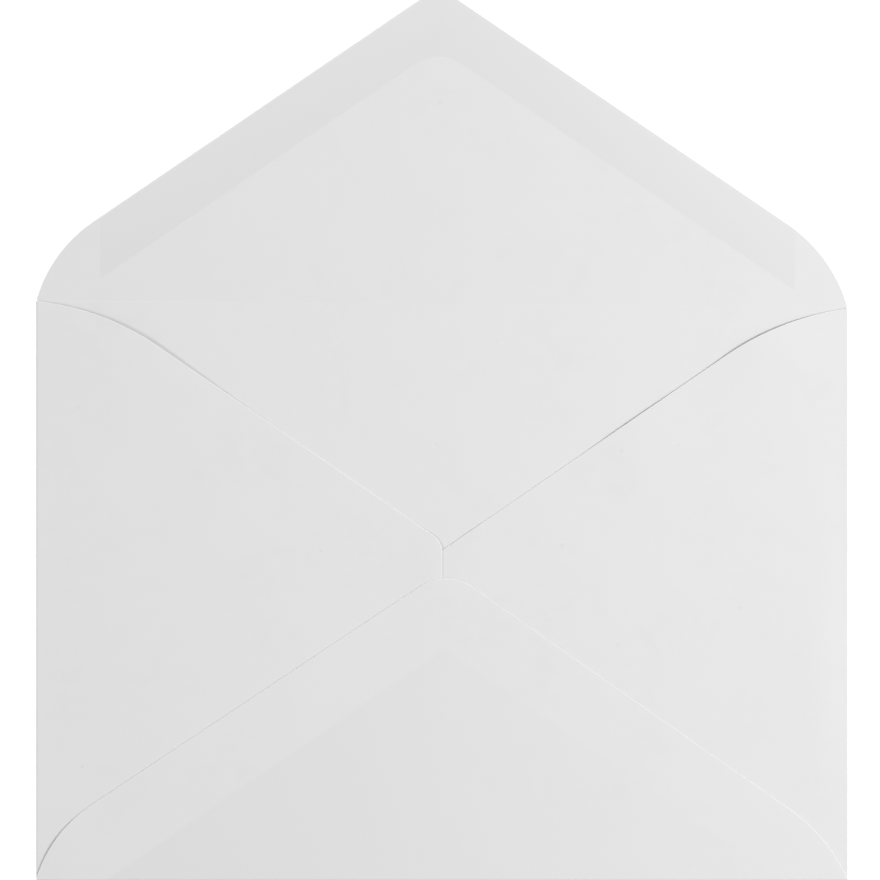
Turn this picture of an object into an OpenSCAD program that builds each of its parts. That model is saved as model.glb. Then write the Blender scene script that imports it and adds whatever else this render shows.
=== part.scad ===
// Gummed paper envelope with four pointed flaps, open, lying on its address side.
// One die-cut blank makes the address panel, two side flaps, the bottom flap and the seal flap.
// Both side flaps are folded in first, the right tip under the left one, and the bottom flap is
// folded up over them and glued along its two slanting edges. The seal flap is left open.
// Z is up, +Y points to the seal flap, and the origin is the middle of the address panel's outer face.

/* [Body] */
// Width of the envelope across its two side folds
body_w = 176; // [140:1:230]
// Height of the envelope from its bottom fold to the seal crease
body_h = 125; // [100:1:165]
// How far the seal crease runs out of square, in degrees
crease_skew = 0.5; // [-1:0.1:1]
// How far each flap is die-cut back at a corner, so that two neighbouring folds stay apart
corner_notch = 0.1; // [0.1:0.05:1]

/* [Paper] */
// Thickness of the paper
paper_t = 0.125; // [0.08:0.005:0.3]
// Clearance between two layers that lie on each other without glue
layer_clear = 0.02; // [0.01:0.01:0.1]
// Room left inside the pocket under the lapped tip
pocket_room = 0.25; // [0.15:0.05:1.5]

/* [Seal flap] */
// How much flatter the flap's edges run than the body's diagonal, in degrees
seal_ease = 1.2; // [0:0.05:3]
// How far the line of the straight edge passes outside the corner of the body
seal_out = 7.45; // [4:0.05:10]
// How far the point is off the middle of the body
seal_shift = -0.7; // [-2:0.1:2]
// Angle between the crease and the start of the rounded shoulder
seal_start = 74; // [65:1:88]
// Radius of the rounded point
seal_tip_r = 6; // [3:0.5:12]
// Inner radius of the pressed crease
crease_r = 4; // [2:0.5:8]
// Angle by which the opened flap still springs up
seal_lift = 3; // [2:0.5:20]

/* [Side flaps] */
// How much flatter the flaps' edges run than the body's diagonal, in degrees
side_ease = 0.9; // [0:0.05:3]
// How far the line of the left flap's upper edge passes outside the end of its fold
left_out = 6.7; // [4:0.1:8]
// How far the line of the right flap's upper edge passes outside the end of its fold
right_out = 6.35; // [4:0.05:8]
// How far the lines of both hidden lower edges pass outside the ends of their folds
foot_out = 8.4; // [4:0.1:10]
// Slope at which the left flap's upper edge leaves its fold, in degrees
left_start = 6.5; // [2:0.5:16]
// Slope at which the right flap's upper edge leaves its fold, in degrees
right_start = 8.5; // [2:0.5:16]
// Slope at which both lower edges leave their folds, in degrees
foot_start = 7; // [2:0.5:16]
// Radius of the two corners of a flap's blunt tip
side_tip_r = 4.5; // [1:0.1:6]
// How far the right flap's tip passes under the left one, which ends at the middle
tip_lap = 3; // [2:0.5:8]
// Length over which the right flap dips to get under the left one
lap_ramp = 7; // [3:0.5:12]

/* [Bottom flap] */
// How much flatter the flap's edges run than the body's diagonal, in degrees
bottom_ease = 1.05; // [0:0.05:3]
// How far the line of the straight edge passes outside the corner of the body
bottom_out = 6.25; // [4:0.05:9]
// How far the flap is cut out of square with its fold, in degrees
bottom_skew = 0.7; // [-1:0.1:1]
// How far the point is off the middle of the body
bottom_shift = 1; // [-2:0.1:2]
// Angle between the fold and the start of the rounded shoulder
bottom_start = 69; // [60:1:88]
// How much larger that angle is on the left, and smaller on the right
bottom_lean = 4; // [-6:0.5:6]
// Radius of the rounded point
bottom_tip_r = 10; // [4:0.5:14]

/* [Gum] */
// Thickness of the dry gum film on the seal flap
gum_t = 0.02; // [0.01:0.005:0.05]
// Distance from the flap's edge to the inner side of the gum
gum_band = 11; // [7:0.5:16]
// Bare paper between the flap's edge and the gum
gum_margin = 0.6; // [0.3:0.1:2]
// Distance from the side folds to the cut ends of the gum
gum_end = 12.75; // [8:0.25:25]
// How far the gum is printed off the middle of the body
gum_shift = 1.25; // [-3:0.25:3]
// Radius of the gum's inner point
gum_tip_r = 9; // [4:0.5:14]

/* [Seam glue] */
// Thickness of the glue film between the bottom flap and a side flap
glue_t = 0.02; // [0.01:0.005:0.05]
// Width of a glue line
glue_w = 7; // [3:0.5:9]
// Dry paper between the bottom flap's edge and the glue line
glue_margin = 2.5; // [1:0.25:4]
// Distance across the body from the flap's point to the inner end of a glue line
glue_inner = 14; // [12:1:30]
// Distance from the end of the rounded shoulder to the outer end of a glue line
glue_outer = 3; // [1:1:20]

/* [Hidden] */
$fn = 144;
// How far a chord of an outline's arc may lie from the true arc
chord_error = 0.01;

// The body's diagonal, and the slopes of the flaps' edges that follow it
diagonal = atan(body_h / body_w);
seal_a = diagonal - seal_ease;
side_a = diagonal - side_ease;
bottom_a = diagonal - bottom_ease;

// Levels of the folded layers, and the folds that lead up to them
pocket_gap = paper_t + layer_clear + pocket_room;
side_z = paper_t + pocket_gap;
bottom_z = side_z + paper_t + glue_t;
side_fold_r = pocket_gap / 2;
bottom_fold_r = (bottom_z - paper_t) / 2;

// Where the flat of the address panel ends and a fold begins
panel_x = body_w / 2 - side_fold_r - paper_t;
panel_foot = -body_h / 2 + bottom_fold_r + paper_t;

// How far the seal flap's strip reaches back into the panel, which ends halfway along it
crease_back = 5;

function crease_y(x) = body_h / 2 - x * tan(crease_skew);
function below_crease(x, distance) = [x, crease_y(x) - distance];
function along(angle) = [cos(angle), sin(angle)];
// Normal of an edge that runs at this angle, turned to the outer side of the flap
function outward(angle, turn) = turn * [-sin(angle), cos(angle)];

// Where the line through p at angle a crosses the line through q at angle b
function meet(p, a, q, b) =
    let (n = [-sin(b), cos(b)])
    p + along(a) * (((q - p) * n) / (along(a) * n));

// An arc of an outline is [centre, radius, normal at its start, normal at its end].
// This one leaves the fold's end p at a given angle and runs into the straight edge, which
// passes p at the distance out.
function shoulder(p, out, edge, start, turn) =
    let (r = out / (1 - cos(start - edge)), from = outward(start, turn))
    [p - r * from, r, from, outward(edge, turn)];

// The arc that rounds the corner between two edges, each given by a point, an angle and a normal
function corner(p, a, n1, q, b, n2, r) = [meet(p - r * n1, a, q - r * n2, b), r, n1, n2];

// The same arc, drawn from its other end
function reversed(arc) = [arc[0], arc[1], arc[3], arc[2]];

function arc_start(arc) = arc[0] + arc[1] * arc[2];
function arc_end(arc) = arc[0] + arc[1] * arc[3];

// Points along an arc, on a circle smaller by inset, as many as the chord error asks for
function arc_points(arc, inset = 0) =
    let (from = atan2(arc[2][1], arc[2][0]), to = atan2(arc[3][1], arc[3][0]),
         steps = ceil(abs(to - from) / (2 * acos(1 - chord_error / arc[1]))))
    [for (i = [0:steps]) arc[0] + (arc[1] - inset) * along(from + (to - from) * i / steps)];

// Outline of a pointed flap over its fold: left shoulder, rounded point, right shoulder
function pointed(left, right, point, slope, skew, start, lean, tip_r) =
    let (a = slope - skew, b = 180 - slope - skew, n1 = outward(a, 1), n2 = outward(b, -1))
    [shoulder(left, (point - left) * n1, a, start + lean, 1),
     corner(point, a, n1, point, b, n2, tip_r),
     reversed(shoulder(right, (point - right) * n2, b, 180 - start + lean, -1))];

// The outline through all arcs of a flap, drawn smaller all round by inset, with the given
// points along its base
module outline(arcs, inset = 0, base = []) {
    polygon([for (arc = arcs) each arc_points(arc, inset), each base]);
}

// Outline of the seal flap, which starts at the crease
seal_point = [seal_shift, body_h / 2 + body_w / 2 * tan(seal_a) + seal_out / cos(seal_a)];
seal_left = [-body_w / 2, crease_y(-body_w / 2) + corner_notch];
seal_right = [body_w / 2, crease_y(body_w / 2) + corner_notch];
seal_arcs = pointed(seal_left, seal_right, seal_point, seal_a, 0, seal_start, 0, seal_tip_r);

// Outline of the bottom flap, which starts where its fold has come round to the top
bottom_point = [bottom_shift, -body_h / 2 + body_w / 2 * tan(bottom_a) + bottom_out / cos(bottom_a)];
bottom_arcs = pointed([-body_w / 2, panel_foot], [body_w / 2, panel_foot], bottom_point,
    bottom_a, bottom_skew, bottom_start, bottom_lean, bottom_tip_r);

// Outline of a side flap, drawn as the left one: upper shoulder, blunt tip, lower shoulder
function side_arcs(top_y, top_out, top_start, tip_x) =
    let (top = [-panel_x, top_y], foot = [-panel_x, panel_foot + corner_notch],
         n_top = outward(-side_a, 1), n_foot = outward(side_a, -1),
         p = top + top_out * n_top, q = foot + foot_out * n_foot)
    [shoulder(top, top_out, -side_a, -top_start, 1),
     corner(p, -side_a, n_top, [tip_x, 0], 90, [1, 0], side_tip_r),
     corner([tip_x, 0], 90, [1, 0], q, side_a, n_foot, side_tip_r),
     reversed(shoulder(foot, foot_out, side_a, foot_start, -1))];

left_top = crease_y(-body_w / 2) - corner_notch;
right_top = crease_y(body_w / 2) - corner_notch;
left_arcs = side_arcs(left_top, left_out, left_start, 0);
right_arcs = side_arcs(right_top, right_out, right_start, tip_lap);

// Half ring of paper that turns a panel's edge over by 180 degrees, in its own section plane
module fold_section(inner_r) {
    outer_r = inner_r + paper_t;
    translate([outer_r, outer_r]) difference() {
        circle(outer_r);
        circle(inner_r);
        translate([0, -2 * outer_r]) square(4 * outer_r);
    }
}

module address_panel() {
    linear_extrude(paper_t)
        polygon([[-panel_x, panel_foot], [panel_x, panel_foot],
                 below_crease(panel_x, crease_back / 2), below_crease(-panel_x, crease_back / 2)]);
}

// Side fold, drawn as the left one, from the bottom notch up to the notch at the crease
module side_fold(top_y) {
    foot_y = panel_foot + corner_notch;
    translate([-body_w / 2, top_y, 0]) rotate([90, 0, 0])
        linear_extrude(top_y - foot_y) fold_section(side_fold_r);
}

module left_flap() {
    side_fold(left_top);
    translate([0, 0, side_z]) linear_extrude(paper_t) outline(left_arcs);
}

// The right flap is the left one mirrored, and dips by one layer before it meets the left tip
module right_flap() {
    dip = paper_t + layer_clear;
    dip_end = -1;
    dip_from = dip_end - lap_ramp;
    side_fold(right_top);
    intersection() {
        translate([0, 0, side_z - 2 * dip]) linear_extrude(4 * dip) outline(right_arcs);
        translate([0, body_h, side_z]) rotate([90, 0, 0]) linear_extrude(2 * body_h)
            polygon([[-body_w, 0], [dip_from, 0], [dip_end, -dip], [body_w, -dip],
                     [body_w, paper_t - dip], [dip_end, paper_t - dip],
                     [dip_from, paper_t], [-body_w, paper_t]]);
    }
}

module bottom_flap() {
    translate([-body_w / 2, -body_h / 2, 0]) rotate([90, 0, 90])
        linear_extrude(body_w) fold_section(bottom_fold_r);
    translate([0, 0, bottom_z]) linear_extrude(paper_t) outline(bottom_arcs);
}

// Section of the seal flap between two heights over its underside, from a little inside the
// panel, round the crease and up the lifted flap. X runs away from the crease and Y is up.
module seal_section(low, high) {
    centre = [0, paper_t + crease_r];
    under = [for (a = [0:seal_lift / 2:seal_lift]) centre + (centre[1] - low) * along(a - 90)];
    over = [for (a = [seal_lift:-seal_lift / 2:0]) centre + (centre[1] - high) * along(a - 90)];
    reach = body_h * along(seal_lift);
    polygon([[-crease_back, low], each under, under[2] + reach,
             over[0] + reach, each over, [-crease_back, high]]);
}

// That section run along the whole crease
module seal_strip(low, high) {
    translate([0, body_h / 2, 0]) rotate([0, 0, -crease_skew]) rotate([90, 0, 90])
        linear_extrude(2 * body_w, center = true) seal_section(low, high);
}

module seal_flap() {
    tall = 2 * body_h;
    intersection() {
        seal_strip(0, paper_t);
        translate([0, 0, -tall / 2]) linear_extrude(tall) outline(seal_arcs, 0,
            [for (p = [[panel_x, -corner_notch], [panel_x, crease_back],
                       [-panel_x, crease_back], [-panel_x, -corner_notch]])
             below_crease(p[0], p[1])]);
    }
}

// One folded sheet
module paper_blank() {
    color("whitesmoke") union() {
        address_panel();
        left_flap();
        mirror([1, 0, 0]) right_flap();
        bottom_flap();
        seal_flap();
    }
}

// Everything below the gum's inner side, with its rounded point
module gum_inside() {
    n1 = outward(seal_a, 1);
    n2 = outward(180 - seal_a, -1);
    inner_point = seal_point - [0, gum_band / cos(seal_a)];
    point = corner(inner_point, seal_a, n1, inner_point, -seal_a, n2, gum_tip_r);
    polygon([each arc_points(point),
             arc_end(point) + body_w * along(-seal_a), arc_start(point) - body_w * along(seal_a)]);
}

// Dry gum along both slanting edges of the seal flap, on the face that folds down
module seal_gum() {
    span = body_w - 2 * gum_end;
    color("gainsboro") intersection() {
        seal_strip(paper_t, paper_t + gum_t);
        linear_extrude(body_h) difference() {
            intersection() {
                outline(seal_arcs, gum_margin);
                translate([gum_shift - span / 2, 0]) square([span, 2 * body_h]);
            }
            gum_inside();
        }
    }
}

// Glue line under one slanting edge of the bottom flap, from its shoulder to near its point
module seam_glue(shoulder_end, slope) {
    from = glue_inner / cos(slope);
    to = norm(bottom_point - shoulder_end) - glue_outer;
    color("ivory") translate([0, 0, side_z + paper_t]) linear_extrude(glue_t)
        translate(bottom_point) rotate(slope) translate([-to, -glue_margin - glue_w])
            square([to - from, glue_w]);
}

module seam_glue_left() {
    seam_glue(arc_end(bottom_arcs[0]), bottom_a - bottom_skew);
}

module seam_glue_right() {
    mirror([1, 0, 0]) seam_glue(arc_start(bottom_arcs[2]), bottom_a + bottom_skew);
}

paper_blank();
seal_gum();
seam_glue_left();
seam_glue_right();
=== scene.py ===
import math
import bpy
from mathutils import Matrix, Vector


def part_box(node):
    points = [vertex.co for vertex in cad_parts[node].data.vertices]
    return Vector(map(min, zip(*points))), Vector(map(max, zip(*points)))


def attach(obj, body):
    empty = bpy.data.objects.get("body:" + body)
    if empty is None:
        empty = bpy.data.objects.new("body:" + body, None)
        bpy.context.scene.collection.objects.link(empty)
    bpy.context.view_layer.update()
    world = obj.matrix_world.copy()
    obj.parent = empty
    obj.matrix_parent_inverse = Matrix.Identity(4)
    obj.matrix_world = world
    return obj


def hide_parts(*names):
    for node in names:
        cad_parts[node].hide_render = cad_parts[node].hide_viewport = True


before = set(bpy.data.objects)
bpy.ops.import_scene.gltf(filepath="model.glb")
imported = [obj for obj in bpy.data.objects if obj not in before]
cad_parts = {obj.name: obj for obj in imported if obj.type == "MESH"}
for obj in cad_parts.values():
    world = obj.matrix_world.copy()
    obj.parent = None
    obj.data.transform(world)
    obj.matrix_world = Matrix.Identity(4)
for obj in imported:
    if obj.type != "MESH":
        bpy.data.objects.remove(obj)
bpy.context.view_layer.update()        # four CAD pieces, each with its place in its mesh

bpy.ops.object.select_all(action="DESELECT")
print("frame loaded")

mm = 0.001


# Camera: a long lens that looks straight down, so that the sheet shows without perspective
cameraSettings = {
    "distance": 2.4,
    "seenWidth": 190.85 * mm,
    "centre": (-0.46 * mm, 33.06 * mm),
    "sensor": 36.0,              # width in mm; the lens's length in mm follows from it
    "nearest": 0.1,
    "farthest": 20.0,
}


def addCamera():
    data = bpy.data.cameras.new("camera")
    data.sensor_width = cameraSettings["sensor"]
    data.lens = cameraSettings["sensor"] * cameraSettings["distance"] / cameraSettings["seenWidth"]
    data.clip_start = cameraSettings["nearest"]
    data.clip_end = cameraSettings["farthest"]
    camera = bpy.data.objects.new("camera", data)
    bpy.context.scene.collection.objects.link(camera)
    camera.location = (*cameraSettings["centre"], cameraSettings["distance"])
    bpy.context.scene.camera = camera


addCamera()
print("camera placed")


# Sheet: the die-cut blank, folded, with the natural spring and cockle of paper
paperSettings = {
    "thickness": 0.125 * mm,
    "mergeDistance": 0.002 * mm,
    "flatAngle": 0.2,            # faces that differ by less become one face, in degrees
    "cutAngle": 60.0,            # edges sharper than this are die-cut edges, in degrees
    "cutLevel": 0.9,             # the least height of the normal of a face that looks up
    "cutRounding": 0.105 * mm,   # how far the die rounds the upper side of a cut edge
    "cutSteps": 2,               # faces across that rounding
    "shortestCut": 0.35 * mm,    # shorter edges, at the notches and the ends of folds, stay sharp
    "cutSlot": 1,                # material slot of the rounded cut edges
    "gridStep": 2.0 * mm,        # spacing of the lines at which the sheet can bend
    "gridShift": 0.37,           # in steps; it keeps the lines off the faces' own corners
    "smoothAngle": 30.0,         # in degrees
    "largeFaces": 80,            # above 50, large faces lead in the shading of their corners
}

# The seal crease: its height at the middle of the sheet in mm, and the slope at which it runs.
# A painted highlight along it shows best on the left, and is fainter from there to the right.
creaseAndHighlight = {
    "height": 62.5,
    "slope": 0.5,
    "halfWidth": 0.3,
    "fadesBetween": (-66.0, -40.0),
    "faint": 0.15,
}

# The folded flaps lie pressed down on the address panel, lower than the even pocket of the CAD
pressSettings = {
    "depth": 0.36 * mm,
    "creaseBlend": 16.0 * mm,    # the seal flap comes into its own shape this far from its crease
    "tipReach": 25.0 * mm,       # the side flaps' tips lie this near to the middle of the pocket
    "tipDip": 0.145 * mm,        # the right flap's tip lies this far below the left one's
    "bottomSlack": 0.2,          # the share by which glue holds the bottom flap up
    "bottomRounding": 0.42 * mm, # how far the bottom fold's rounding reaches inwards
    "foldSpring": 0.15,          # the side folds' own spring, as a share of the press
    "foldReach": 0.6 * mm,       # how far that spring reaches inwards
}

# Where the pressed flaps spring up: at places along their cut edges and beside the right fold.
# Each place is a mound: x, y, radius along x, radius along y and height, in millimetres.
flapMounds = {
    "leftEdge": (-68.0, 55.0, 23.0, 19.0, 0.86),
    "rightEdgeOuter": (70.0, 57.0, 12.5, 14.0, 0.76),
    "rightEdgeMiddle": (42.0, 38.0, 11.0, 12.0, 0.45),
    "rightEdgeInner": (20.0, 22.0, 8.0, 8.0, 0.08),
    "rightTip": (4.0, 12.0, 6.0, 6.0, 0.17),
    "tipLap": (-1.0, 0.0, 7.0, 24.0, 0.17),
    "rightFold": (76.0, -18.0, 12.0, 40.0, 0.16),
    "rightFoldRidge": (82.5, -18.0, 4.5, 34.0, 0.34),
}

# How the open seal flap differs from a flat plane, in the same terms
sealMounds = {
    "leftWing": (-60.0, 84.0, 26.0, 18.0, 0.3),
    "rightWing": (64.0, 82.0, 26.0, 18.0, -0.15),
    "middle": (0.0, 98.0, 40.0, 26.0, 0.3),
    "point": (0.0, 131.0, 26.0, 16.0, -0.4),
}

# Where one layer alone is pressed down less, in the same terms, but with shares of the press
# for heights
looseTip = {"leftTip": (-1.0, 6.0, 4.0, 6.0, 0.98)}
looseFoot = {"leftShoulder": (-85.0, -54.0, 7.0, 9.0, 0.75)}

latticeSettings = {
    "low": (-92.0 * mm, -66.0 * mm),
    "high": (92.0 * mm, 136.0 * mm),
    "columns": 62,
    "rows": 41,
    "layers": 2,                 # enough, because the sheet moves only up and down
    "height": 8.0 * mm,
}

cockleSettings = {
    "size": 42.0 * mm,           # width of one wave of the sheet
    "height": 0.22 * mm,
    "lowest": 0.22,              # the share of a wave's height that puts the sheet on the floor
    "depth": 1,                  # how many finer waves lie on each wave
}


def selectOnly(piece):
    bpy.ops.object.select_all(action="DESELECT")
    piece.select_set(True)
    bpy.context.view_layer.objects.active = piece


def applyModifier(piece, modifier):
    selectOnly(piece)
    bpy.ops.object.modifier_apply(modifier=modifier.name)


def copyOfNode(nodeName, pieceName):
    # The copy's loose triangles are merged into clean flat faces; the CAD node stays as it is
    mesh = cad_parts[nodeName].data.copy()
    mesh.materials.clear()
    for slot in range(paperSettings["cutSlot"] + 1):
        mesh.materials.append(None)
    mesh.name = pieceName
    piece = bpy.data.objects.new(pieceName, mesh)
    bpy.context.scene.collection.objects.link(piece)
    selectOnly(piece)
    bpy.ops.object.mode_set(mode="EDIT")
    bpy.ops.mesh.select_all(action="SELECT")
    bpy.ops.mesh.remove_doubles(threshold=paperSettings["mergeDistance"])
    bpy.ops.mesh.dissolve_limited(angle_limit=math.radians(paperSettings["flatAngle"]))
    bpy.ops.object.mode_set(mode="OBJECT")
    return piece


def markCutEdges(piece):
    # The edges at which a level face that looks up meets the wall that the die cut
    mesh = piece.data
    cutAngle = math.radians(paperSettings["cutAngle"])
    sides = {}
    for face in mesh.polygons:
        for key in face.edge_keys:
            sides.setdefault(key, []).append(face.normal)
    marks = mesh.attributes.new("bevel_weight_edge", "FLOAT", "EDGE")
    for edge in mesh.edges:
        normals = sides.get(edge.key, [])
        start, end = (mesh.vertices[corner].co for corner in edge.vertices)
        if len(normals) != 2 or (end - start).length <= paperSettings["shortestCut"]:
            continue
        looksUp = max(normal.z for normal in normals) > paperSettings["cutLevel"]
        if looksUp and normals[0].angle(normals[1]) > cutAngle:
            marks.data[edge.index].value = 1.0


def roundCutEdges(piece):
    markCutEdges(piece)
    bevel = piece.modifiers.new("cutEdges", "BEVEL")
    bevel.width = paperSettings["cutRounding"]
    bevel.segments = paperSettings["cutSteps"]
    bevel.limit_method = "WEIGHT"
    bevel.use_clamp_overlap = False
    bevel.material = paperSettings["cutSlot"]
    applyModifier(piece, bevel)


def cutIntoGrid(piece):
    # Straight cuts across the sheet, so that its flat faces can bend
    step = paperSettings["gridStep"]
    bpy.context.view_layer.update()
    corners = [Vector(corner) for corner in piece.bound_box]
    selectOnly(piece)
    bpy.ops.object.mode_set(mode="EDIT")
    for axis, normal in ((0, (1, 0, 0)), (1, (0, 1, 0))):
        low = min(corner[axis] for corner in corners)
        high = max(corner[axis] for corner in corners)
        for line in range(math.ceil(low / step), math.floor(high / step) + 1):
            place = [0.0, 0.0, 0.0]
            place[axis] = (line + paperSettings["gridShift"]) * step
            bpy.ops.mesh.select_all(action="SELECT")
            bpy.ops.mesh.bisect(plane_co=place, plane_no=normal)
    bpy.ops.object.mode_set(mode="OBJECT")


def smoothStep(value, low, high):
    t = min(max((value - low) / (high - low), 0.0), 1.0)
    return t * t * (3 - 2 * t)


def mound(x, y, mounds):
    # The height of all these mounds at one place, in millimetres or shares as theirs is
    height = 0.0
    for centreX, centreY, radiusX, radiusY, top in mounds.values():
        away = math.hypot((x / mm - centreX) / radiusX, (y / mm - centreY) / radiusY)
        height += top * math.exp(-away * away)
    return height


sheetLow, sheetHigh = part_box("paper_blank")
glueLow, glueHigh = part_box("seam_glue_left")
creaseY = creaseAndHighlight["height"] * mm
bottomFold = sheetLow.y + pressSettings["bottomRounding"]

# The heights of the layers in the CAD: the seam glue lies on the left flap
panelTop = paperSettings["thickness"]
flapUnder = glueLow.z - paperSettings["thickness"]
tipUnder = flapUnder - pressSettings["tipDip"]
betweenTips = (tipUnder + flapUnder) / 2 + paperSettings["thickness"] / 2
bottomUnder = (glueLow.z + glueHigh.z) / 2


def freeShare(point):
    # How far a point follows the lattice: 0 on the address panel, 1 on the side flaps and, away
    # from its crease, on the seal flap. The bottom flap and the folds follow less.
    if point.y > creaseY:
        return smoothStep(point.y, creaseY, creaseY + pressSettings["creaseBlend"])
    atTips = math.hypot(point.x, point.y) < pressSettings["tipReach"]
    atBottomFold = point.y < bottomFold
    under = flapUnder
    if atTips:
        under = tipUnder
    elif atBottomFold:
        under = glueHigh.z
    share = min(max((point.z - panelTop) / (under - panelTop), 0.0), 1.0)
    if atTips and point.z > betweenTips:
        share -= mound(point.x, point.y, looseTip)
    slack = pressSettings["bottomSlack"] + mound(point.x, point.y, looseFoot)
    if atBottomFold:
        share *= 1 - slack
    elif point.z > bottomUnder:
        share -= slack
    inward = (sheetHigh.x - abs(point.x)) / pressSettings["foldReach"]
    return max(share, 0.0) * (1 - pressSettings["foldSpring"] * math.exp(-inward * inward))


def addSpringLattice():
    low, high = latticeSettings["low"], latticeSettings["high"]
    data = bpy.data.lattices.new("paperSpring")
    data.points_u = latticeSettings["columns"]
    data.points_v = latticeSettings["rows"]
    data.points_w = latticeSettings["layers"]
    lattice = bpy.data.objects.new("paperSpring", data)
    bpy.context.scene.collection.objects.link(lattice)
    size = Vector((high[0] - low[0], high[1] - low[1], latticeSettings["height"]))
    lattice.location = ((low[0] + high[0]) / 2, (low[1] + high[1]) / 2, 0)
    lattice.scale = (size.x / (data.points_u - 1), size.y / (data.points_v - 1), size.z)
    for point in data.points:
        x = lattice.location.x + point.co.x * lattice.scale.x
        y = lattice.location.y + point.co.y * lattice.scale.y
        if y > creaseY:
            rise = mound(x, y, sealMounds) * mm
        else:
            rise = mound(x, y, flapMounds) * mm - pressSettings["depth"]
        point.co_deform.z = point.co.z + rise / size.z
    bpy.context.view_layer.update()
    return lattice


def springUp(piece, lattice):
    group = piece.vertex_groups.new(name="free")
    for vertex in piece.data.vertices:
        share = freeShare(vertex.co)
        if share > 0:
            group.add([vertex.index], share, "REPLACE")
    spring = piece.modifiers.new("spring", "LATTICE")
    spring.object = lattice
    spring.vertex_group = "free"
    applyModifier(piece, spring)


def addCockleTexture():
    texture = bpy.data.textures.new("cockle", "CLOUDS")
    texture.noise_scale = cockleSettings["size"]
    texture.noise_depth = cockleSettings["depth"]
    texture.noise_basis = "ORIGINAL_PERLIN"
    return texture


def cockle(piece, texture):
    wave = piece.modifiers.new("cockle", "DISPLACE")
    wave.texture = texture
    wave.texture_coords = "LOCAL"
    wave.direction = "Z"
    wave.mid_level = cockleSettings["lowest"]
    wave.strength = cockleSettings["height"]
    applyModifier(piece, wave)


def finishShading(piece):
    # Flat faces keep their own light right up to the rounded cut edges
    selectOnly(piece)
    bpy.ops.object.shade_smooth_by_angle(angle=math.radians(paperSettings["smoothAngle"]))
    weighted = piece.modifiers.new("weighted", "WEIGHTED_NORMAL")
    weighted.mode = "FACE_AREA"
    weighted.weight = paperSettings["largeFaces"]
    weighted.keep_sharp = True
    applyModifier(piece, weighted)
    piece.select_set(False)


springLattice = addSpringLattice()
cockleTexture = addCockleTexture()


def makePaperPiece(nodeName, pieceName, rounded):
    piece = copyOfNode(nodeName, pieceName)
    if rounded:
        roundCutEdges(piece)
    cutIntoGrid(piece)
    springUp(piece, springLattice)
    cockle(piece, cockleTexture)
    finishShading(piece)
    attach(piece, "root")
    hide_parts(nodeName)
    print(pieceName, "made,", len(piece.data.polygons), "faces")
    return piece


envelopeSheet = makePaperPiece("paper_blank", "envelopeSheet", True)
gumFilm = makePaperPiece("seal_gum", "gumFilm", False)
glueLineLeft = makePaperPiece("seam_glue_left", "glueLineLeft", False)
glueLineRight = makePaperPiece("seam_glue_right", "glueLineRight", False)
bpy.data.objects.remove(springLattice)


# Materials. A colour mix has its amount at socket 0, its two colours at 6 and 7, and gives its
# result at 2. A ramp rises from 0 to 1 unless it says otherwise.
def linear(hexColour):
    # The steps are those of the sRGB standard
    channels = [int(hexColour[start:start + 2], 16) / 255 for start in (1, 3, 5)]
    plain = [c / 12.92 if c <= 0.04045 else ((c + 0.055) / 1.055) ** 2.4 for c in channels]
    return (*plain, 1.0)


def addNode(tree, kind, settings=None, links=None):
    # settings fill sockets by name or number and properties by name; links join other sockets
    node = tree.nodes.new(kind)
    for key, value in (settings or {}).items():
        if isinstance(key, int) or key in node.inputs:
            node.inputs[key].default_value = value
        else:
            setattr(node, key, value)
    for key, source in (links or {}).items():
        tree.links.new(source, node.inputs[key])
    return node


def emptyMaterial(name):
    material = bpy.data.materials.new(name)
    material.use_nodes = True
    material.node_tree.nodes.clear()
    return material


def roofDistance(tree, x, y, roof):
    # How far a point lies inside two straight edges that slope down from one peak
    peakX, peakY = roof["peak"]
    slope = math.radians(roof["slope"])
    across = addNode(tree, "ShaderNodeMath", {"operation": "SUBTRACT", 1: peakX * mm}, {0: x})
    aside = addNode(tree, "ShaderNodeMath", {"operation": "ABSOLUTE"}, {0: across.outputs[0]})
    sideways = addNode(tree, "ShaderNodeMath", {"operation": "MULTIPLY", 1: math.sin(slope)},
                       {0: aside.outputs[0]})
    below = addNode(tree, "ShaderNodeMath", {"operation": "SUBTRACT", 0: peakY * mm}, {1: y})
    down = addNode(tree, "ShaderNodeMath", {"operation": "MULTIPLY", 1: math.cos(slope)},
                   {0: below.outputs[0]})
    inside = addNode(tree, "ShaderNodeMath", {"operation": "SUBTRACT"},
                     {0: down.outputs[0], 1: sideways.outputs[0]})
    return inside.outputs[0]


paperLook = {
    "colour": "#E4E4E4",
    "cloud": "#E2E2E2",          # where the fibres lie a little thinner
    "hollowShade": "#E1E1E1",         # painted shade: the bottom flap where no side flap backs it, in place of light through the thin paper
    "crease": "#E6E6E6",         # painted highlight along the seal crease
    "speck": "#DEDEDD",          # a coarse fibre
    "roughness": 0.86,
    "ior": 1.5,
    "fibreCloud": 4.0,           # width of a small cloud of fibre, in mm
    "cloudLevels": (0.3, 0.75),  # the noise levels at which a small cloud begins and is full
    "formation": 17.0,           # width of a broad cloud, in mm
    "formationLevels": (0.35, 0.7),
    "fibreGrain": 0.45,          # width of the surface grain, in mm, coarse enough to show
    "grainDepth": 0.004 * mm,
    "speckSpacing": 13.0,        # in mm
    "speckRadius": 0.6,          # in mm
    "speckCore": 0.3,            # the share of that radius in which a speck is at its darkest
    "speckLevel": 0.84,          # from 0 to 1, how many places go without a speck
}

# The hidden lower edges of both side flaps, along which painted shade on the bottom flap's outer
# face stands in for the light that passes through the paper, clearest on the left. Places are in
# mm.
hiddenEdges = {
    "peak": (0.6, -11.95),
    "slope": 34.3,
    "softness": (-0.3, 0.8),     # from where outside each edge to where inside it
    "outerFace": (0.2, 0.6),     # heights of a face's normal: too steep to show it, and level
    "fadesBetween": (-45.0, 50.0),
    "faint": 0.2,
}


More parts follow.
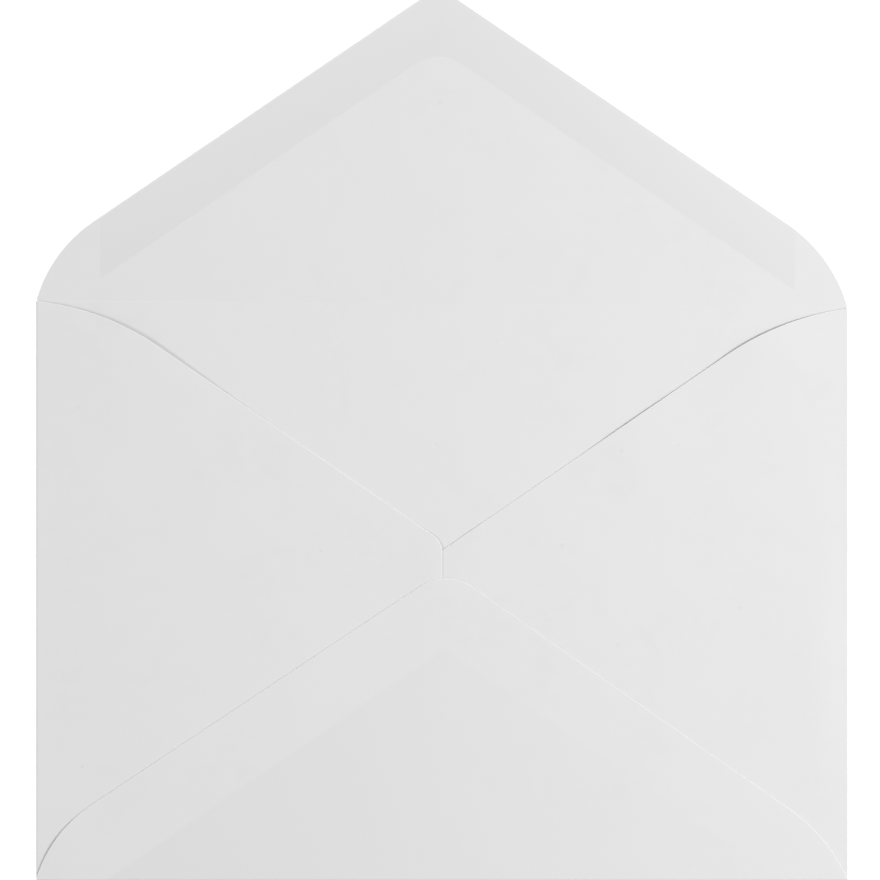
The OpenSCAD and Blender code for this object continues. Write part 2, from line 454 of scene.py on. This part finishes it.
def fibreClouds(tree, place):
    # Small clouds, stronger in some broad ones than in others
    small = addNode(tree, "ShaderNodeTexNoise",
                    {"Scale": 1 / (paperLook["fibreCloud"] * mm), "Detail": 3.0, "Roughness": 0.6},
                    {"Vector": place})
    broad = addNode(tree, "ShaderNodeTexNoise",
                    {"Scale": 1 / (paperLook["formation"] * mm), "Detail": 2.0},
                    {"Vector": place})
    begins, full = paperLook["cloudLevels"]
    thin = addNode(tree, "ShaderNodeMapRange",
                   {"interpolation_type": "SMOOTHSTEP", "From Min": begins, "From Max": full},
                   {"Value": small.outputs["Fac"]})
    begins, full = paperLook["formationLevels"]
    gathered = addNode(tree, "ShaderNodeMapRange",
                       {"interpolation_type": "SMOOTHSTEP", "From Min": begins, "From Max": full},
                       {"Value": broad.outputs["Fac"]})
    clouds = addNode(tree, "ShaderNodeMath", {"operation": "MULTIPLY"},
                     {0: thin.outputs["Result"], 1: gathered.outputs["Result"]})
    colour = addNode(tree, "ShaderNodeMix",
                     {"data_type": "RGBA", 6: linear(paperLook["colour"]),
                      7: linear(paperLook["cloud"])}, {0: clouds.outputs[0]})
    return colour.outputs[2]


def paintedShowThroughShade(tree, x, y, colour):
    # Painted shade: the bottom flap's colour is drawn a little darker where no side flap lies
    # right behind it
    outside, within = hiddenEdges["softness"]
    edge = addNode(tree, "ShaderNodeMapRange",
                   {"interpolation_type": "SMOOTHSTEP", "From Min": outside * mm,
                    "From Max": within * mm},
                   {"Value": roofDistance(tree, x, y, hiddenEdges)})
    facing = addNode(tree, "ShaderNodeNewGeometry")
    normal = addNode(tree, "ShaderNodeSeparateXYZ", {}, {0: facing.outputs["True Normal"]})
    steep, level = hiddenEdges["outerFace"]
    outer = addNode(tree, "ShaderNodeMapRange",
                    {"interpolation_type": "SMOOTHSTEP", "From Min": steep, "From Max": level},
                    {"Value": normal.outputs["Z"]})
    left, right = hiddenEdges["fadesBetween"]
    fade = addNode(tree, "ShaderNodeMapRange",
                   {"interpolation_type": "SMOOTHSTEP", "From Min": left * mm,
                    "From Max": right * mm, "To Min": 1.0, "To Max": hiddenEdges["faint"]},
                   {"Value": x})
    hollowShade = addNode(tree, "ShaderNodeMath", {"operation": "MULTIPLY"},
                     {0: edge.outputs["Result"], 1: outer.outputs["Result"]})
    hollowShade = addNode(tree, "ShaderNodeMath", {"operation": "MULTIPLY"},
                     {0: hollowShade.outputs[0], 1: fade.outputs["Result"]})
    mixed = addNode(tree, "ShaderNodeMix",
                    {"data_type": "RGBA", 7: linear(paperLook["hollowShade"])},
                    {0: hollowShade.outputs[0], 6: colour})
    return mixed.outputs[2]


def paintedCreaseHighlight(tree, x, y, colour):
    # Painted highlight: a fine bright line drawn along the seal crease, for the light that the
    # crease catches
    slope = math.tan(math.radians(creaseAndHighlight["slope"]))
    slant = addNode(tree, "ShaderNodeMath", {"operation": "MULTIPLY", 1: slope}, {0: x})
    level = addNode(tree, "ShaderNodeMath", {"operation": "ADD"}, {0: y, 1: slant.outputs[0]})
    off = addNode(tree, "ShaderNodeMath",
                  {"operation": "SUBTRACT", 1: creaseAndHighlight["height"] * mm}, {0: level.outputs[0]})
    away = addNode(tree, "ShaderNodeMath", {"operation": "ABSOLUTE"}, {0: off.outputs[0]})
    line = addNode(tree, "ShaderNodeMapRange",
                   {"interpolation_type": "SMOOTHSTEP", "From Min": 0.0,
                    "From Max": creaseAndHighlight["halfWidth"] * mm, "To Min": 1.0, "To Max": 0.0},
                   {"Value": away.outputs[0]})
    left, right = creaseAndHighlight["fadesBetween"]
    fade = addNode(tree, "ShaderNodeMapRange",
                   {"interpolation_type": "SMOOTHSTEP", "From Min": left * mm,
                    "From Max": right * mm, "To Min": 1.0, "To Max": creaseAndHighlight["faint"]},
                   {"Value": x})
    amount = addNode(tree, "ShaderNodeMath", {"operation": "MULTIPLY"},
                     {0: line.outputs["Result"], 1: fade.outputs["Result"]})
    mixed = addNode(tree, "ShaderNodeMix",
                    {"data_type": "RGBA", 7: linear(paperLook["crease"])},
                    {0: amount.outputs[0], 6: colour})
    return mixed.outputs[2]


def coarseFibres(tree, place, colour):
    # Small soft specks, at a few of the places that the spacing gives
    cells = addNode(tree, "ShaderNodeTexVoronoi",
                    {"voronoi_dimensions": "2D", "Scale": 1 / (paperLook["speckSpacing"] * mm)},
                    {"Vector": place})
    radius = paperLook["speckRadius"] / paperLook["speckSpacing"]
    spot = addNode(tree, "ShaderNodeMapRange",
                   {"interpolation_type": "SMOOTHSTEP",
                    "From Min": radius * paperLook["speckCore"], "From Max": radius,
                    "To Min": 1.0, "To Max": 0.0},
                   {"Value": cells.outputs["Distance"]})
    chance = addNode(tree, "ShaderNodeSeparateColor", {}, {0: cells.outputs["Color"]})
    rare = addNode(tree, "ShaderNodeMapRange",
                   {"interpolation_type": "SMOOTHSTEP", "From Min": paperLook["speckLevel"],
                    "From Max": 1.0}, {"Value": chance.outputs[0]})
    amount = addNode(tree, "ShaderNodeMath", {"operation": "MULTIPLY"},
                     {0: spot.outputs["Result"], 1: rare.outputs["Result"]})
    mixed = addNode(tree, "ShaderNodeMix",
                    {"data_type": "RGBA", 7: linear(paperLook["speck"])},
                    {0: amount.outputs[0], 6: colour})
    return mixed.outputs[2]


def uncoatedPaper():
    # Uncoated woodfree offset paper, calendered once: matt, with faint clouds where the fibres lie
    # thinner, a very fine felt grain, a few coarse fibres, painted shade on the unbacked bottom
    # flap and a painted highlight along the seal crease
    material = emptyMaterial("uncoatedWoodfreePaper")
    tree = material.node_tree
    place = addNode(tree, "ShaderNodeTexCoord").outputs["Object"]
    xyz = addNode(tree, "ShaderNodeSeparateXYZ", {}, {0: place})
    x, y = xyz.outputs["X"], xyz.outputs["Y"]

    colour = fibreClouds(tree, place)
    colour = paintedShowThroughShade(tree, x, y, colour)
    colour = paintedCreaseHighlight(tree, x, y, colour)
    colour = coarseFibres(tree, place, colour)

    grain = addNode(tree, "ShaderNodeTexNoise",
                    {"Scale": 1 / (paperLook["fibreGrain"] * mm), "Detail": 2.0,
                     "Roughness": 0.55},
                    {"Vector": place})
    bump = addNode(tree, "ShaderNodeBump", {"Strength": 1.0, "Distance": paperLook["grainDepth"]},
                   {"Height": grain.outputs["Fac"]})
    shader = addNode(tree, "ShaderNodeBsdfPrincipled",
                     {"Roughness": paperLook["roughness"], "IOR": paperLook["ior"]},
                     {"Base Color": colour, "Normal": bump.outputs["Normal"]})
    addNode(tree, "ShaderNodeOutputMaterial", {}, {"Surface": shader.outputs["BSDF"]})
    return material


# The cut edges' colour, whiter than the faces: partly the open core fibres, partly a painted
# highlight along every cut edge
edgeAndHighlightLook = {
    "colour": "#FAFAFA",
    "shade": "#F4F4F4",          # between the fibres
    "roughness": 0.95,
    "fibre": 0.3,                # width of the fibres' unevenness, in mm
}


def shearedEdgeAndHighlight():
    # The die's shear leaves the paper's core fibres open: rougher than its faces, and drawn
    # whiter, partly for the open fibres and partly as a painted highlight
    material = emptyMaterial("shearedPaperEdgeAndHighlight")
    tree = material.node_tree
    place = addNode(tree, "ShaderNodeTexCoord").outputs["Object"]
    fibres = addNode(tree, "ShaderNodeTexNoise",
                     {"Scale": 1 / (edgeAndHighlightLook["fibre"] * mm), "Detail": 2.0}, {"Vector": place})
    colour = addNode(tree, "ShaderNodeMix",
                     {"data_type": "RGBA", 6: linear(edgeAndHighlightLook["colour"]),
                      7: linear(edgeAndHighlightLook["shade"])}, {0: fibres.outputs["Fac"]})
    shader = addNode(tree, "ShaderNodeBsdfPrincipled", {"Roughness": edgeAndHighlightLook["roughness"]},
                     {"Base Color": colour.outputs[2]})
    addNode(tree, "ShaderNodeOutputMaterial", {}, {"Surface": shader.outputs["BSDF"]})
    return material


gumLook = {
    "outer": "#E2E2E2",          # lighter at the flap's edge
    "inner": "#E0E0E0",          # darker towards the middle of the flap
    "band": 11.0,                # width of the band, in mm
    "roughness": 0.55,
    "ior": 1.46,
    "ripple": 2.5,               # width of the dried ripples, in mm
    "rippleDepth": 0.004 * mm,
}

# The two straight edges of the seal flap, in mm
sealEdges = {"peak": (-0.7, 131.27), "slope": 34.18}


def driedGum():
    # Remoistenable dextrin gum, rolled on wet and dried: a clear thin film that darkens the paper
    # slightly and shines a little more than it
    material = emptyMaterial("driedDextrinGum")
    tree = material.node_tree
    place = addNode(tree, "ShaderNodeTexCoord").outputs["Object"]
    xyz = addNode(tree, "ShaderNodeSeparateXYZ", {}, {0: place})
    film = addNode(tree, "ShaderNodeMapRange",
                   {"interpolation_type": "SMOOTHSTEP", "From Min": 0.0,
                    "From Max": gumLook["band"] * mm},
                   {"Value": roofDistance(tree, xyz.outputs["X"], xyz.outputs["Y"], sealEdges)})
    colour = addNode(tree, "ShaderNodeMix",
                     {"data_type": "RGBA", 6: linear(gumLook["outer"]),
                      7: linear(gumLook["inner"])}, {0: film.outputs["Result"]})
    ripples = addNode(tree, "ShaderNodeTexNoise",
                      {"Scale": 1 / (gumLook["ripple"] * mm), "Detail": 2.0}, {"Vector": place})
    bump = addNode(tree, "ShaderNodeBump", {"Strength": 1.0, "Distance": gumLook["rippleDepth"]},
                   {"Height": ripples.outputs["Fac"]})
    shader = addNode(tree, "ShaderNodeBsdfPrincipled",
                     {"Roughness": gumLook["roughness"], "IOR": gumLook["ior"]},
                     {"Base Color": colour.outputs[2], "Normal": bump.outputs["Normal"]})
    addNode(tree, "ShaderNodeOutputMaterial", {}, {"Surface": shader.outputs["BSDF"]})
    return material


glueLook = {
    "colour": "#E6E4DC",
    "thin": "#DEDCD3",           # where it dried thinner
    "roughness": 0.4,
    "ior": 1.47,
    "streak": 1.5,               # width of a streak, in mm
}


def driedSeamGlue():
    # Water-based starch glue, dried between the layers: off-white, streaked, slightly glossy
    material = emptyMaterial("driedStarchGlue")
    tree = material.node_tree
    place = addNode(tree, "ShaderNodeTexCoord").outputs["Object"]
    streaks = addNode(tree, "ShaderNodeTexNoise",
                      {"Scale": 1 / (glueLook["streak"] * mm), "Detail": 3.0}, {"Vector": place})
    colour = addNode(tree, "ShaderNodeMix",
                     {"data_type": "RGBA", 6: linear(glueLook["colour"]),
                      7: linear(glueLook["thin"])}, {0: streaks.outputs["Fac"]})
    shader = addNode(tree, "ShaderNodeBsdfPrincipled",
                     {"Roughness": glueLook["roughness"], "IOR": glueLook["ior"]},
                     {"Base Color": colour.outputs[2]})
    addNode(tree, "ShaderNodeOutputMaterial", {}, {"Surface": shader.outputs["BSDF"]})
    return material


def giveMaterial(piece, material):
    piece.data.materials.clear()
    piece.data.materials.append(material)


seamGlue = driedSeamGlue()
envelopeSheet.data.materials[0] = uncoatedPaper()
envelopeSheet.data.materials[paperSettings["cutSlot"]] = shearedEdgeAndHighlight()
giveMaterial(gumFilm, driedGum())
giveMaterial(glueLineLeft, seamGlue)
giveMaterial(glueLineRight, seamGlue)
print("materials made")


# Studio: a pale floor that shows white to the camera, three soft lamps and even fill
studioSettings = {
    "floorSize": 3.0,
    "floorDrop": 0.02 * mm,      # the floor lies this far below the sheet
    "floorColour": "#F4F4F4",
    "floorGlow": 0.55,           # what the camera sees added to the lit floor
    "fillStrength": 0.38,
    "aim": 1 / 3,                # how far along the way to the seal flap's point the lamps look
}

# Azimuth 0 is to the right and 90 is towards the seal flap's point
lampSettings = {
    "rightLamp": {"azimuth": -2.0, "elevation": 44.0, "distance": 0.85, "size": 0.18,
                  "power": 4.35},
    "leftLamp": {"azimuth": 190.0, "elevation": 38.0, "distance": 0.85, "size": 0.2, "power": 1.4},
    "topLamp": {"azimuth": 92.0, "elevation": 28.0, "distance": 0.9, "size": 0.3, "power": 1.45},
}


def addFloor():
    bpy.ops.mesh.primitive_plane_add(size=studioSettings["floorSize"],
                                     location=(0, 0, -studioSettings["floorDrop"]))
    floor = bpy.context.active_object
    floor.name = "floor"
    material = emptyMaterial("paleFloor")
    tree = material.node_tree
    ray = addNode(tree, "ShaderNodeLightPath")
    seen = addNode(tree, "ShaderNodeMath", {"operation": "MAXIMUM"},
                   {0: ray.outputs["Is Camera Ray"], 1: ray.outputs["Is Glossy Ray"]})
    seen = addNode(tree, "ShaderNodeMath", {"operation": "MAXIMUM"},
                   {0: seen.outputs[0], 1: ray.outputs["Is Transmission Ray"]})
    glow = addNode(tree, "ShaderNodeMath",
                   {"operation": "MULTIPLY", 1: studioSettings["floorGlow"]}, {0: seen.outputs[0]})
    lift = addNode(tree, "ShaderNodeEmission", {"Color": (1, 1, 1, 1)},
                   {"Strength": glow.outputs[0]})
    matt = addNode(tree, "ShaderNodeBsdfDiffuse", {"Color": linear(studioSettings["floorColour"])})
    both = addNode(tree, "ShaderNodeAddShader", {},
                   {0: matt.outputs["BSDF"], 1: lift.outputs["Emission"]})
    addNode(tree, "ShaderNodeOutputMaterial", {}, {"Surface": both.outputs["Shader"]})
    giveMaterial(floor, material)


def addWorld():
    # White to the camera, and the fill's strength to everything else
    world = bpy.data.worlds.new("studio")
    bpy.context.scene.world = world
    world.use_nodes = True
    tree = world.node_tree
    tree.nodes.clear()
    ray = addNode(tree, "ShaderNodeLightPath")
    level = addNode(tree, "ShaderNodeMapRange",
                    {"From Min": 0.0, "From Max": 1.0, "To Min": studioSettings["fillStrength"],
                     "To Max": 1.0}, {"Value": ray.outputs["Is Camera Ray"]})
    sky = addNode(tree, "ShaderNodeBackground", {"Color": (1, 1, 1, 1)},
                  {"Strength": level.outputs["Result"]})
    addNode(tree, "ShaderNodeOutputWorld", {}, {"Surface": sky.outputs["Background"]})


def addLamp(name, settings):
    data = bpy.data.lights.new(name, "AREA")
    data.shape = "SQUARE"
    data.size = settings["size"]
    data.energy = settings["power"]
    lamp = bpy.data.objects.new(name, data)
    bpy.context.scene.collection.objects.link(lamp)
    turn, rise = math.radians(settings["azimuth"]), math.radians(settings["elevation"])
    level = settings["distance"] * math.cos(rise)
    height = settings["distance"] * math.sin(rise)
    aim = Vector((0, sheetHigh.y * studioSettings["aim"], 0))
    lamp.location = aim + Vector((level * math.cos(turn), level * math.sin(turn), height))
    lamp.rotation_mode = "QUATERNION"
    lamp.rotation_quaternion = (aim - lamp.location).to_track_quat("-Z", "Y")


addFloor()
addWorld()
for name, settings in lampSettings.items():
    addLamp(name, settings)
bpy.context.scene.view_settings.view_transform = "Standard"
print("studio lit")
